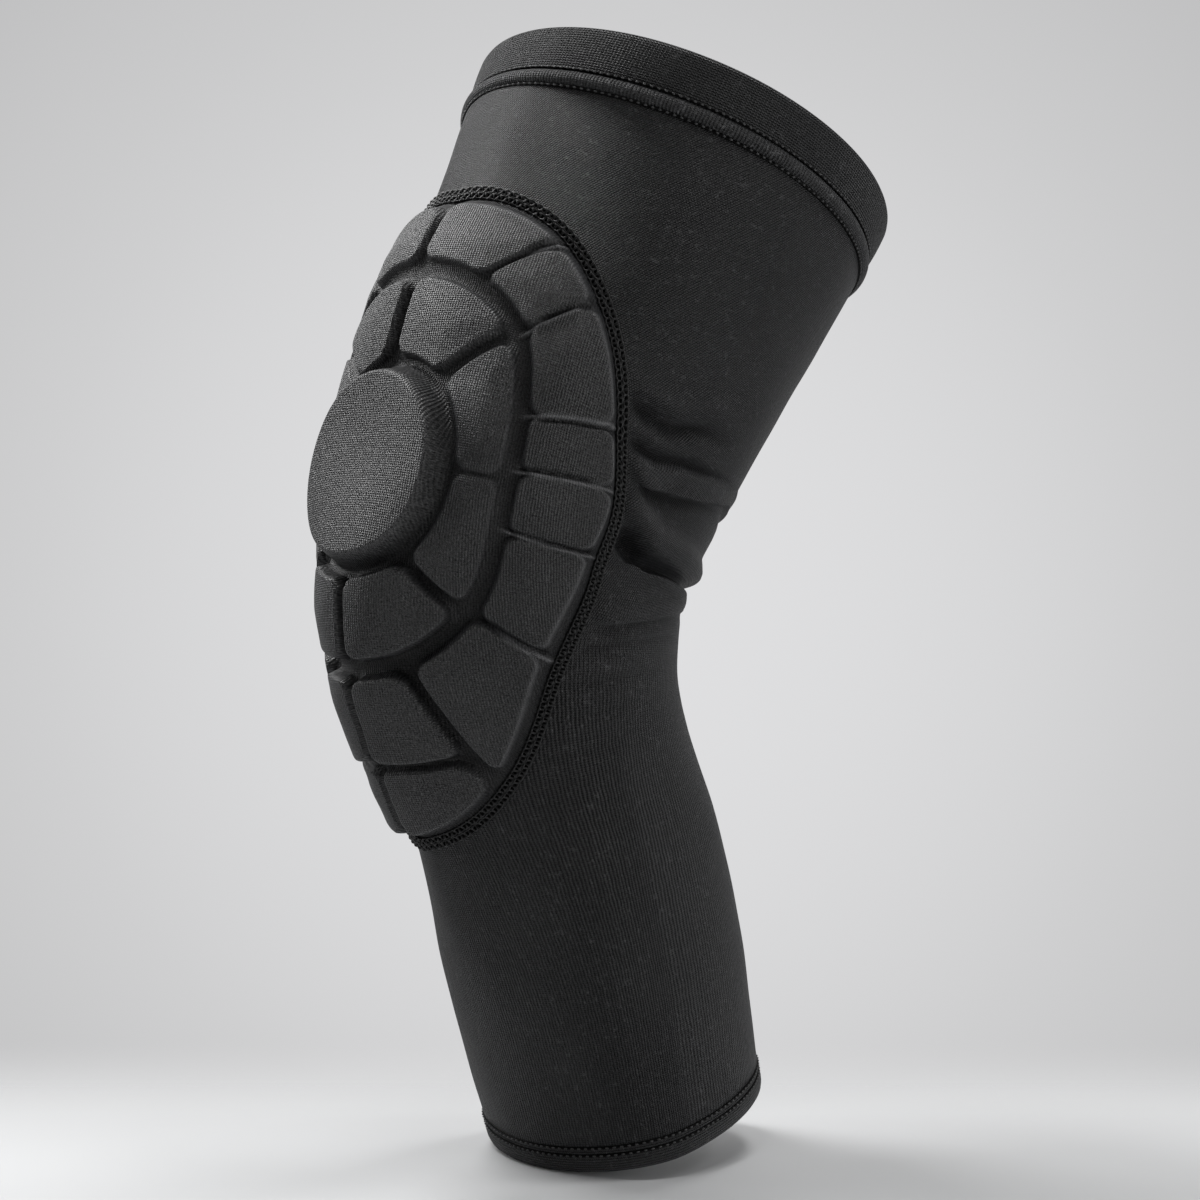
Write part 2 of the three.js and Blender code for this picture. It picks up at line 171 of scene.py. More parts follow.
# Soft ridges (+) and valleys (-) of the cloth behind the knee: place beside the pad, on the side and at the
# back, rise, half breadth above and below, how much narrower and lower it is at the back, and where it ends.
FOLDS = [
    (66.0, 74.0, 80.0, 1.3, 7.0, 5.5, 1.0, 1.0, 112),
    (59.5, 65.5, 71.0, -2.8, 4.0, 6.0, 0.8, 1.0, 112),
    (49.0, 53.5, 61.0, -3.0, 3.0, 4.5, 0.7, 1.0, 124),
    (44.5, 49.0, 60.5, 2.0, 3.5, 4.5, 0.8, 0.4, 230),
    (32.0, 25.5, 25.0, 3.4, 10.0, 6.0, 0.9, 0.8, 230),
    (22.5, 17.0, 17.5, -7.5, 6.5, 6.5, 0.5, 0.38, 230),
    (1.0, 3.0, 10.0, 0.9, 5.0, 4.0, 0.8, 0.7, 230),
    (-10.5, -8.5, -4.0, -1.1, 3.0, 4.5, 1.0, 1.0, 125),
    (-15.5, -14.0, -10.0, 0.4, 4.0, 5.0, 1.0, 1.0, 120),
    (-21.0, -20.0, -17.0, -0.6, 2.5, 3.0, 1.0, 1.0, 118),
    (-30.0, -28.5, -26.0, -0.5, 2.5, 3.5, 1.0, 1.0, 112),
    (-40.0, -38.5, -36.0, -0.35, 2.5, 3.5, 1.0, 1.0, 108),
]
# Tucks, where the cloth above laps over the cloth below, or below over above if the lap is negative: place as
# above, lap, lift of the lapping edge, depth under it, reach above and below, share at the back and its end.
TUCKS = [
    (41.0, 44.0, 56.0, 2.6, 1.5, 3.0, 5.0, 8.0, 0.4, 230),
    (14.5, 12.8, 13.5, -1.8, 0.7, 1.4, 5.0, 6.0, 0.25, 230),
    (-2.0, 0.0, 7.0, 1.6, 0.8, 1.3, 5.0, 6.0, 0.35, 230),
]
TUCK_TURN = 1.8
# turns of the leg at which the three places hold, how much later folds are lower and narrower, how far before
# its end a fold fades, and the distances from the seam at which it starts and is full
FOLD_EDGE, FOLD_SIDE, FOLD_BACK = 80.0, 95.0, 130.0
LOWER_LATER, NARROWER_LATER = 5, 20
FOLD_FADE = 28.0
FOLD_STARTS, FOLD_FULL = 1.5, 10.0
TUCK_STARTS, TUCK_FULL = 3.0, 16.0

# Faint waves of worn stretch cloth: rise, and two waves that are multiplied, each with its number round the
# leg, its radians for each 10 mm along it and its start.
RIPPLES = [
    (0.16, (3, 0.55, 0), (-2, 0.9, 1.3)),
    (0.10, (7, -0.8, 0.4), (3, 1.7, 0)),
]
RIPPLE_UNIT = 10
RIPPLES_FULL = 12
BAND_RIPPLES = 0.5


def column(rows, name, at):
    """Smooth curve through one column of a table, looked up by its first column."""
    keys, values = rows[:, 0], rows[:, name]
    slopes = np.empty(len(keys))
    slopes[1:-1] = (values[2:] - values[:-2]) / (keys[2:] - keys[:-2])
    slopes[0] = (values[1] - values[0]) / (keys[1] - keys[0])
    slopes[-1] = (values[-1] - values[-2]) / (keys[-1] - keys[-2])
    at = np.asarray(at, float)
    i = np.clip(np.searchsorted(keys, at) - 1, 0, len(keys) - 2)
    span = keys[i + 1] - keys[i]
    t = (at - keys[i]) / span
    rest = 1 - t
    ends = values[i] * rest**2 * (1 + 2 * t) + values[i + 1] * t**2 * (3 - 2 * t)
    return ends + span * t * rest * (slopes[i] * rest - slopes[i + 1] * t)


def smooth(value, low, high):
    t = np.clip((value - low) / (high - low), 0, 1)
    return t * t * (3 - 2 * t)


def unit(vectors):
    return vectors / np.maximum(np.linalg.norm(vectors, axis=-1, keepdims=True), TINY)


def lengths(points):
    """Length along a row of points up to each of them."""
    return np.concatenate([[0], np.cumsum(np.linalg.norm(np.diff(points, axis=0), axis=1))])


def leg_point(at, turn):
    """Point of the smooth leg; turn is 0 at the front, 90 on the right side and 180 at the back."""
    at, turn = np.broadcast_arrays(np.asarray(at, float), np.asarray(turn, float))
    middle = math.radians(THIGH_LEAN - SHIN_LEAN) / 2
    half = BEND_RADIUS * math.radians(THIGH_LEAN + SHIN_LEAN) / 2
    in_bend = np.clip(at, -half, half)
    lean = middle + in_bend / BEND_RADIUS
    past = at - in_bend
    y = BEND_RADIUS * (math.cos(middle) - np.cos(lean)) + past * np.sin(lean)
    z = BEND_RADIUS * (np.sin(lean) - math.sin(middle)) + past * np.cos(lean)
    c, s = np.cos(np.radians(turn)), np.sin(np.radians(turn))
    front = c > 0
    taper = np.where(front, column(SECTIONS, TAPER, at), 0)
    square = np.where(front, column(SECTIONS, SQUARE, at), ROUND_BACK)
    out = (np.abs(c)**square + np.abs(s)**square)**(-1 / square)
    x = column(SECTIONS, WIDTH, at) * out * s * (1 - taper * c * c)
    reach = np.where(front, column(SECTIONS, FRONT, at), column(SECTIONS, BACK, at)) * out * c
    return np.stack([x, y - reach * np.cos(lean), z + reach * np.sin(lean)], -1)


def leg_normal(at, turn):
    along = leg_point(at + NORMAL_STEP, turn) - leg_point(at - NORMAL_STEP, turn)
    around = leg_point(at, turn + NORMAL_TURN) - leg_point(at, turn - NORMAL_TURN)
    return unit(np.cross(around, along))


def lifted(at, turn, height):
    """Point at a height over the smooth leg."""
    at, turn, height = np.broadcast_arrays(*[np.asarray(v, float) for v in (at, turn, height)])
    return leg_point(at, turn) + leg_normal(at, turn) * height[..., None]


def side_of(turn):
    """Turn from the front to either side, 0 to 180."""
    return np.abs(np.where(turn > 180, turn - 360, turn))


# Lengths on the pad's face: UP along the front line from the disc's middle, ACROSS round the leg from it.
AT_KEYS = np.arange(-186, 179, 1.0)
TURN_KEYS = np.arange(0, 180.5, 0.5)
ACROSS_KEYS = np.arange(0, 200, 0.5)
face = lifted(AT_KEYS[:, None], TURN_KEYS[None, :], PAD_FACE)
UP = lengths(face[:, 0])
UP -= np.interp(PAD_CENTRE, AT_KEYS, UP)
ACROSS = np.stack([lengths(row) for row in face])
TURN_OF = np.stack([np.interp(ACROSS_KEYS, row, TURN_KEYS) for row in ACROSS])
BEFORE_LAST = 1.001


def between(table, rows, columns, row, col):
    """Value of a table with even steps between its rows and columns."""
    i = np.clip((row - rows[0]) / (rows[1] - rows[0]), 0, len(rows) - BEFORE_LAST)
    j = np.clip((col - columns[0]) / (columns[1] - columns[0]), 0, len(columns) - BEFORE_LAST)
    i0, j0 = i.astype(int), j.astype(int)
    a, b = i - i0, j - j0
    low = table[i0, j0] * (1 - b) + table[i0, j0 + 1] * b
    high = table[i0 + 1, j0] * (1 - b) + table[i0 + 1, j0 + 1] * b
    return low * (1 - a) + high * a


def pad_place(across, up):
    """Place along the leg and turn round it of a point of the flat layout."""
    at = np.interp(up, UP, AT_KEYS)
    return at, np.sign(across) * between(TURN_OF, AT_KEYS, ACROSS_KEYS, at, np.abs(across))


def outline(name, angle):
    return column(OUTLINE, name, np.abs(angle))


def seam_clearance(at, turn):
    """How far a point of the sleeve is outside the middle of the pad's seam."""
    up = np.interp(at, AT_KEYS, UP)
    across = between(ACROSS, AT_KEYS, TURN_KEYS, at, side_of(turn))
    return np.hypot(up, across) - outline(SEAM, np.degrees(np.arctan2(across, up)))


def fold_middle(fold, side):
    """Place of a fold's line along the leg, at a turn to the side."""
    to_side = np.clip((side - FOLD_EDGE) / (FOLD_SIDE - FOLD_EDGE), 0, 1)
    to_back = np.clip((side - FOLD_SIDE) / (FOLD_BACK - FOLD_SIDE), 0, 1)
    edge, mid, back = fold[:3]
    return edge + (mid - edge) * smooth(to_side, 0, 1) + (back - mid) * to_back


def cloth(at, turn):
    """Where the folds take a point of the cloth: its place along the leg, and how far it stands out."""
    at, turn = np.broadcast_arrays(np.asarray(at, float), np.asarray(turn, float))
    side = side_of(turn)
    clear = seam_clearance(at, turn)
    starts = smooth(clear, FOLD_STARTS, FOLD_FULL)
    to_back = smooth(side, FOLD_SIDE + LOWER_LATER, FOLD_BACK + LOWER_LATER)
    rise = np.zeros(at.shape)
    slide = np.zeros(at.shape)
    for fold in FOLDS:
        height, above, below, narrow, low, end = fold[3:]
        narrower = 1 - (1 - narrow) * smooth(side, FOLD_EDGE, FOLD_SIDE + NARROWER_LATER)
        height = height * (1 - (1 - low) * to_back)
        gone = (at - fold_middle(fold, side)) / narrower
        off = np.clip(np.where(gone > 0, gone / above, gone / below), -1, 1)
        rise += height * starts * (1 - smooth(side, end - FOLD_FADE, end)) * (1 - off * off)**2
    starts = smooth(clear, TUCK_STARTS, TUCK_FULL)
    for tuck in TUCKS:
        lap, lift, depth, above, below, low, end = tuck[3:]
        gone = at - fold_middle(tuck, side)
        if lap < 0:
            gone = -gone
            above, below = below, above
        share = starts * (1 - smooth(side, end - FOLD_FADE, end)) * (1 - (1 - low) * to_back)
        upper = smooth(gone, above, 0)
        turned = smooth(gone, -TUCK_TURN, 0)
        lower = smooth(gone, -TUCK_TURN - below, -TUCK_TURN)
        slide -= lap * share * np.where(gone > 0, upper, turned)
        rise += share * np.where(gone > 0, lift * upper**2, lift * turned - depth * (1 - turned) * lower)
    return at + slide, rise


def ripples(at, turn):
    """Faint unevenness of worn stretch cloth."""
    def wave(round_leg, along, start):
        return np.sin(round_leg * np.radians(turn) + along * at / RIPPLE_UNIT + start)

    return sum(rise * wave(*first) * wave(*second) for rise, first, second in RIPPLES)


class Look:
    """A new material, with short ways to make its nodes."""

    def __init__(self, name):
        self.material = bpy.data.materials.new(name)
        self.material.use_nodes = True
        self.nodes = self.material.node_tree.nodes
        self.links = self.material.node_tree.links
        self.shader = self.nodes["Principled BSDF"]

    def give(self, socket, value):
        """Links an output to a socket, or sets the socket to a number or colour."""
        if isinstance(value, bpy.types.NodeSocket):
            self.links.new(value, socket)
        elif value is not None:
            socket.default_value = value

    def dress(self, **values):
        """Gives values to the shader, each by its socket's name with _ for a space."""
        for name, value in values.items():
            self.give(self.shader.inputs[name.replace("_", " ")], value)

    def math(self, kind, first, second=None):
        node = self.nodes.new("ShaderNodeMath")
        node.operation = kind
        self.give(node.inputs[0], first)
        self.give(node.inputs[1], second)
        return node.outputs[0]

    def uv_map(self, name):
        node = self.nodes.new("ShaderNodeUVMap")
        node.uv_map = name
        return node.outputs["UV"]

    def split(self, vector):
        node = self.nodes.new("ShaderNodeSeparateXYZ")
        self.links.new(vector, node.inputs[0])
        return node.outputs["X"], node.outputs["Y"]

    def noise(self, vector, scale, detail):
        node = self.nodes.new("ShaderNodeTexNoise")
        node.inputs["Scale"].default_value = scale
        node.inputs["Detail"].default_value = detail
        self.links.new(vector, node.inputs["Vector"])
        return node.outputs["Fac"]

    def ramp(self, value, low, high, to_low=0, to_high=1):
        node = self.nodes.new("ShaderNodeMapRange")
        for name, number in (("From Min", low), ("From Max", high), ("To Min", to_low), ("To Max", to_high)):
            node.inputs[name].default_value = number
        self.links.new(value, node.inputs["Value"])
        return node.outputs["Result"]

    def mix(self, factor, first, second):
        node = self.nodes.new("ShaderNodeMix")
        node.data_type = "RGBA"
        self.links.new(factor, node.inputs["Factor"])
        self.give(node.inputs["A"], first)
        self.give(node.inputs["B"], second)
        return node.outputs["Result"]

    def bump(self, height, strength, distance):
        node = self.nodes.new("ShaderNodeBump")
        self.give(node.inputs["Strength"], strength)
        node.inputs["Distance"].default_value = distance
        self.links.new(height, node.inputs["Height"])
        self.dress(Normal=node.outputs["Normal"])


def tinted(tint, times):
    return (*[times * v for v in tint], 1)


# Knit: the length of the cloth map round the leg, and the pitch in mm of the wales on the calf, on the thigh,
# where they slant, and on the bands. The map reaches the shader in metres.
ROUND_LEG = 380.0
CALF_WALE = ROUND_LEG / 270
THIGH_WALE = ROUND_LEG / 480
THIGH_SLANT = -0.6
BAND_WALE = ROUND_LEG / 400
KNEE_ALONG = 0.165
KNEE_BLEND = 0.02
WAVES = 2 * math.pi / MM
WANDER = 4.5
KNIT_SLANT = 2.2
KNIT_RELIEF = 0.0004
PEBBLED_SHARE = 0.6
# scale and detail of the noises that bend the wales, roughen the knit, fleck and mottle it, and lay stray
# fibres
WAVER = (260, 2)
PEBBLES = (850, 1)
FLECKS = (1500, 3)
PATCHES = (28, 3)
STRAY_BENDS = (420, 1)
STRAY_PLACES = (300, 2)
NOISE_MIDDLE = 0.5
PATCH_DEPTH = 0.5
SHADE_SPAN = 0.8
DARK_YARN_AND_SHADE, LIGHT_YARN_AND_LIT = 0.15, 1.85
STRAY_HALF = 0.035
STRAY_FROM, STRAY_FULL = 0.46, 0.62
LEAST_GLOSS = 0.06
SHEEN = 0.05
SHEEN_ROUGH = 0.45
SHEEN_TINT = (0.75, 0.77, 0.82, 1)
# stray fibres, and the painted highlight on edges, lips and ridges, are lighter than the knit by this;
# painted shade in grooves and valleys makes it darker and duller by this, and its bump flatter by this
FIBRE_AND_HIGHLIGHT_LIGHTER = 9.0
PAINTED_SHADE_STRENGTH = 0.5
SUNK_FLATTER = 0.4
BLACK = (0, 0, 0, 1)


def knit(name, tint, wale=BAND_WALE, calf_wale=None, course=0.7, bump=0.9, rough=0.53, fleck=1.0,
         shade_depth=0.42, stray=0.3, shine=0.4, pebble=0.0, ribbed=0.62, reads_painted_light=False):
    """Near-black knit with fine wales and courses, worked out from the cloth map. Knit that reads the
    painted-light map also gets a painted highlight where its first channel says, and painted shade where its
    second says."""
    look = Look(name)
    place = look.uv_map("cloth")
    sideways, along = look.split(place)
    wander = look.math("MULTIPLY", look.noise(place, *WAVER), WANDER)

    def wales(across, pitch):
        return look.math("ADD", look.math("MULTIPLY", across, WAVES / pitch), wander)

    if calf_wale:
        past_knee = look.math("MAXIMUM", look.math("SUBTRACT", along, KNEE_ALONG), 0.0)
        slanted = look.math("ADD", sideways, look.math("MULTIPLY", past_knee, THIGH_SLANT))
        phase = wales(slanted, wale)
        on_thigh = look.ramp(along, KNEE_ALONG - KNEE_BLEND, KNEE_ALONG + KNEE_BLEND)
        calf_ribs = look.math("SINE", wales(sideways, calf_wale))
        change = look.math("SUBTRACT", look.math("SINE", phase), calf_ribs)
        ribs = look.math("ADD", calf_ribs, look.math("MULTIPLY", change, on_thigh))
    else:
        phase = wales(sideways, wale)
        ribs = look.math("SINE", phase)
    half_wave = look.math("ABSOLUTE", look.math("SINE", look.math("MULTIPLY", phase, 0.5)))
    slant = look.math("MULTIPLY", half_wave, KNIT_SLANT)
    loops = look.math("SINE", look.math("ADD", look.math("MULTIPLY", along, WAVES / course), slant))
    height = look.math("ADD", look.math("MULTIPLY", ribs, ribbed), look.math("MULTIPLY", loops, 1 - ribbed))

    def centred(noise, times):
        return look.math("MULTIPLY", look.math("SUBTRACT", noise, NOISE_MIDDLE), times)

    if pebble:
        grained = centred(look.noise(place, *PEBBLES), 2 * pebble)
        height = look.math("ADD", look.math("MULTIPLY", height, PEBBLED_SHARE), grained)
    grain = centred(look.noise(place, *FLECKS), 2 * fleck)
    patches = centred(look.noise(place, *PATCHES), PATCH_DEPTH)
    # colour: random flecks and patches of tone, plus painted shade between the wales and painted light on
    # them
    relief = look.math("MULTIPLY", height, shade_depth)
    shade = look.ramp(look.math("ADD", look.math("ADD", grain, patches), relief), -SHADE_SPAN, SHADE_SPAN)
    colour = look.mix(shade, tinted(tint, DARK_YARN_AND_SHADE), tinted(tint, LIGHT_YARN_AND_LIT))
    bends = look.math("SUBTRACT", look.noise(place, *STRAY_BENDS), NOISE_MIDDLE)
    fibre = look.ramp(look.math("ABSOLUTE", bends), STRAY_HALF, 0)
    few = look.ramp(look.noise(place, *STRAY_PLACES), STRAY_FROM, STRAY_FULL, 0, stray)
    colour = look.mix(look.math("MULTIPLY", fibre, few), colour, tinted(tint, FIBRE_AND_HIGHLIGHT_LIGHTER))
    gloss = look.ramp(shade, 0, 1, LEAST_GLOSS, shine)
    if reads_painted_light:
        # painted highlight from the map's first channel; painted shade from its second: darker, less glossy,
        # flatter bump
        painted_highlight, painted_shade = look.split(look.uv_map("stretch"))
        painted_shade_share = look.math("MULTIPLY", painted_shade, PAINTED_SHADE_STRENGTH)
        colour = look.mix(painted_shade_share, look.mix(painted_highlight, colour, tinted(tint, FIBRE_AND_HIGHLIGHT_LIGHTER)), BLACK)
        gloss = look.math("MULTIPLY", gloss, look.math("SUBTRACT", 1.0, painted_shade_share))
        flattened = look.math("MULTIPLY", painted_shade, SUNK_FLATTER)
        bump = look.math("MULTIPLY", look.math("SUBTRACT", 1.0, flattened), bump)
    look.bump(height, bump, KNIT_RELIEF)
    look.dress(Roughness=rough, Sheen_Weight=SHEEN, Sheen_Roughness=SHEEN_ROUGH, Sheen_Tint=SHEEN_TINT)
    look.dress(Base_Color=colour, Specular_IOR_Level=gloss)
    return look.material


THREAD_ROUGH = 0.42
FIBRES = (1400, 2)
DARK_FIBRE, LIGHT_FIBRE = 0.5, 1.5
FIBRE_BUMP, FIBRE_RELIEF = 0.4, 0.0001


def thread(name, tint, shine):
    """Sewing thread, uneven along its fibres."""
    look = Look(name)
    fibres = look.noise(look.nodes.new("ShaderNodeTexCoord").outputs["Object"], *FIBRES)
    colour = look.mix(fibres, tinted(tint, DARK_FIBRE), tinted(tint, LIGHT_FIBRE))
    look.dress(Base_Color=colour, Roughness=THREAD_ROUGH, Specular_IOR_Level=shine)
    look.bump(fibres, FIBRE_BUMP, FIBRE_RELIEF)
    return look.material


KNIT = knit(
    "sleeve_knit", (0.0125, 0.0125, 0.0128), THIGH_WALE, CALF_WALE, shade_depth=0.68, stray=0.36, shine=0.42,
    rough=0.48, reads_painted_light=True)
PAD_KNIT = knit(
    "pad_knit", (0.0138, 0.0138, 0.0142), wale=0.95, course=0.75, bump=0.8, fleck=1.4, shade_depth=0.4,
    rough=0.44, stray=0.2, shine=0.72, pebble=0.45, reads_painted_light=True)
# the hem's knit is the sleeve's, painted lighter for the light that the floor throws up on it
HEM_KNIT_PAINTED_LIGHT = knit("hem_knit", (0.02, 0.02, 0.0204), course=0.9, shade_depth=0.7, shine=0.42, ribbed=0.2)
CUFF_KNIT = knit("cuff_knit", (0.0135, 0.0135, 0.0138), course=0.9, shade_depth=0.7, shine=0.3, ribbed=0.2)
# the welt's knit is the sleeve's, painted lighter as a painted highlight on its crown
WELT_KNIT_PAINTED_HIGHLIGHT = knit("welt_knit", (0.032, 0.032, 0.0327), shine=0.28)
THREAD = thread("overlock_thread", (0.0065, 0.0065, 0.0067), 0.3)
STITCH = thread("stitch_thread", (0.036, 0.036, 0.0367), 0.35)
# near-black: painted shade between the seam's loops and in the needle holes under the stitches
SEAM_PAINTED_SHADE = thread("seam_painted_shade", (0.002, 0.002, 0.002), 0.05)


def add(name, data):
    made = bpy.data.objects.new(name, data)
    bpy.context.scene.collection.objects.link(made)
    return made


def mesh_piece(name, points, quads, material, replaces=(), uv=None, others=None, around=None,
               stretch=None):
    """Smooth closed mesh from points in mm, quads and other faces. uv is a cloth map in mm and stretch a map
    of painted highlight and painted shade, each a pair for each point, and around is the cloth map's length
    where it closes round the leg."""
    a, b, c, d = (points[quads[:, i]] for i in range(4))
    if (a * np.cross(b - a, c - a) + a * np.cross(c - a, d - a)).sum() < 0:
        quads = quads[:, ::-1]
    faces = quads.tolist() + ([] if others is None else others.tolist())
    corner_points = np.concatenate(faces)
    mesh = bpy.data.meshes.new(name)
    mesh.from_pydata((points * MM).tolist(), [], faces)
    layer = mesh.uv_layers.new(name="cloth")
    if uv is not None:
        corners = uv[corner_points]
        if around is not None:
            quad_u = corners[:, 0].reshape(-1, 4)
            quad_u += around * (quad_u < quad_u.max(axis=1, keepdims=True) - around / 2)
            corners[:, 0] = quad_u.ravel()
        layer.data.foreach_set("uv", (corners * MM).ravel())
    if stretch is not None:
        mesh.uv_layers.new(name="stretch").data.foreach_set("uv", stretch[corner_points].ravel())
    mesh.polygons.foreach_set("use_smooth", np.ones(len(mesh.polygons), dtype=bool))
    mesh.materials.append(material)
    mesh.update()
    made = add(name, mesh)
    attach(made, "root")
    if replaces:
        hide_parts(*replaces)
    return made


def grid_quads(rows, columns, wrap_rows, wrap_columns):
    """Quads of a grid of points, rows by columns, joined round in either direction."""
    index = np.arange(rows * columns).reshape(rows, columns)
    if wrap_rows:
        index = np.vstack([index, index[:1]])
    if wrap_columns:
        index = np.hstack([index, index[:, :1]])
    corners = [index[:-1, :-1], index[:-1, 1:], index[1:, 1:], index[1:, :-1]]
    return np.stack([c.ravel() for c in corners], 1)


def steps(start, stop, step):
    return np.linspace(start, stop, max(1, round((stop - start) / step)) + 1)


def cloth_map(points, along=None):
    """Cloth map of a grid round the leg: length round it, and length along it unless that is given, in mm."""
    if along is None:
        rows = np.linalg.norm(np.diff(points, axis=0), axis=2).mean(axis=1)
        along = np.concatenate([[0], np.cumsum(rows)])[:, None]
    u = np.linspace(0, ROUND_LEG, points.shape[1], endpoint=False)
    return np.stack(np.broadcast_arrays(u[None, :], along), -1).reshape(-1, 2)


# Sleeve: a fine outer wall in its folds, with rows that follow them, and a plainer inner wall that stays
# under the lowest cloth nearby. Its cloth has a painted highlight on ridges and painted shade in valleys.
RIDGE_HIGHLIGHT = 0.11
RIDGE_RISE = (0.5, 3.0)
VALLEY_DEPTH = (0.3, 3.0)
ROWS_BOTTOM, ROWS_TOP, ROWS_PAST = -46.0, 100.0, 200.0
CALF_STEP, FOLD_STEP, THIGH_STEP, INNER_STEP = 2.6, 0.9, 2.4, 6.5
INNER_CLEAR = 9
SLEEVE_COLUMNS = 340
SLEEVE_BOTTOM, SLEEVE_TOP = HEM_TOP + JOINT_GAP, WELT_BOTTOM - JOINT_GAP
turns = np.linspace(0, 360, SLEEVE_COLUMNS, endpoint=False)[None, :]
straight = [(end, end, end) for end in (-ROWS_PAST, ROWS_BOTTOM, ROWS_TOP, ROWS_PAST)]
fold_lines = sorted([fold[:3] for fold in FOLDS + TUCKS] + straight)
edge_keys, side_keys, back_keys = np.maximum.accumulate(np.array(fold_lines), axis=0).T
row_marks = np.concatenate([
    steps(SLEEVE_BOTTOM, ROWS_BOTTOM, CALF_STEP)[:-1], steps(ROWS_BOTTOM, ROWS_TOP, FOLD_STEP)[:-1],
    steps(ROWS_TOP, SLEEVE_TOP, THIGH_STEP),
])[:, None]
row_line = (row_marks, np.interp(row_marks, edge_keys, side_keys), np.interp(row_marks, edge_keys, back_keys))
outer_rows = fold_middle(row_line, side_of(turns))
shifted, rise = cloth(outer_rows, turns)
# painted highlight on the folds' ridges and painted shade in their valleys, for the knit to read
outer_painted_light = np.stack([RIDGE_HIGHLIGHT * smooth(rise, *RIDGE_RISE), smooth(-rise, *VALLEY_DEPTH)], -1)
rise = rise + ripples(outer_rows, turns) * smooth(seam_clearance(outer_rows, turns), 0, RIPPLES_FULL)
outer = lifted(shifted, turns, rise)
inner_rows = steps(SLEEVE_TOP, SLEEVE_BOTTOM, -INNER_STEP)[:, None]
near_rows = inner_rows + np.arange(-INNER_CLEAR, INNER_CLEAR + 1)[None, :]
near_rise = cloth(near_rows[:, :, None], turns[None])[1]
inner = lifted(inner_rows, turns, np.minimum(near_rise.min(axis=1), 0) - SLEEVE_WALL)
both_walls = np.concatenate([outer, inner])
outer_map = cloth_map(outer, outer_rows - outer_rows.min())
sleeve = mesh_piece(
    "sleeve_cloth", both_walls.reshape(-1, 3), grid_quads(len(both_walls), SLEEVE_COLUMNS, True, True), KNIT,
    ["sleeve"], np.concatenate([outer_map, cloth_map(inner)]), None, ROUND_LEG,
    np.concatenate([outer_painted_light.reshape(-1, 2), np.zeros((inner[..., 0].size, 2))]))

# Hem, welt and cuff: closed bands with rounded edges. Each loop's points have a place along the leg, here
# from the end that they are near, and a height over the sleeve.
BAND_COLUMNS = 320
HEM_FROM_TOP = [
    (0, -1.7), (0, -0.5), (-0.3, -0.15), (-1.2, -0.1), (-2.4, -0.1), (-3.2, 0.1), (-4.2, 0.5), (-5.6, 0.75),
    (-7.0, 0.7), (-8.4, 0.4),
]
HEM_FROM_BOTTOM = [(0.35, -0.1), (0, -0.7), (0, -1.3), (0.5, -1.8), (4, -1.9)]
WELT_PROUD = 1.7
WELT_SUNK = 0.3
WELT_ANGLES = range(0, 181, 15)
CUFF_FROM_WELT = [(JOINT_GAP, -1.8), (JOINT_GAP, -0.1)]
CUFF_FACE_LOW, CUFF_FACE_HIGH, CUFF_STEP = 1.5, 1.4, 1.6
CUFF_PROUD, CUFF_SWELL = 0.1, 0.35
CUFF_FROM_TOP = [(-0.5, -0.1), (-0.05, -0.55), (-0.05, -1.25), (-0.5, -1.7), (-6, -1.8)]


def ring_piece(name, loop, material, replaces):
    """Closed band round the leg through a loop of places and heights."""
    around = np.linspace(0, 360, BAND_COLUMNS, endpoint=False)[None, :]
    at, height = (np.array(values)[:, None] for values in zip(*loop))
    points = lifted(at, around, height + ripples(at, around) * BAND_RIPPLES)
    quads = grid_quads(len(loop), BAND_COLUMNS, True, True)
    uv = cloth_map(points)
    return mesh_piece(name, points.reshape(-1, 3), quads, material, replaces, uv, None, ROUND_LEG)


def placed(start, loop):
    return [(start + off, height) for off, height in loop]


hem_loop = placed(HEM_TOP, HEM_FROM_TOP) + placed(HEM_BOTTOM, HEM_FROM_BOTTOM)
ring_piece("hem_band", hem_loop, HEM_KNIT_PAINTED_LIGHT, ["lower_hem"])
welt_middle, welt_half = (WELT_BOTTOM + WELT_TOP) / 2, (WELT_TOP - WELT_BOTTOM) / 2
welt_arch = [
    (welt_half * math.cos(math.radians(a)), (WELT_PROUD + WELT_SUNK) * math.sin(math.radians(a)) - WELT_SUNK)
    for a in WELT_ANGLES
]
welt_loop = [(WELT_TOP, -SLEEVE_WALL), *placed(welt_middle, welt_arch), (WELT_BOTTOM, -SLEEVE_WALL)]
ring_piece("welt_roll", welt_loop, WELT_KNIT_PAINTED_HIGHLIGHT, ["upper_welt"])
cuff_face = [
    (at, CUFF_PROUD + CUFF_SWELL * math.sin(math.pi * (at - WELT_TOP) / (CUFF_TOP - WELT_TOP)))
    for at in steps(WELT_TOP + CUFF_FACE_LOW, CUFF_TOP - CUFF_FACE_HIGH, CUFF_STEP)
]
cuff_loop = placed(WELT_TOP, CUFF_FROM_WELT) + cuff_face + placed(CUFF_TOP, CUFF_FROM_TOP)
ring_piece("cuff_band", cuff_loop, CUFF_KNIT, ["upper_cuff"])


def chin(angle):
    """Radius of the groove above the tip blocks."""
    share = (180 - np.abs(angle)) / CHIN_SIDE_ANGLE
    return CHIN_AT_MIDDLE + (CHIN_AT_SIDE - CHIN_AT_MIDDLE) * share


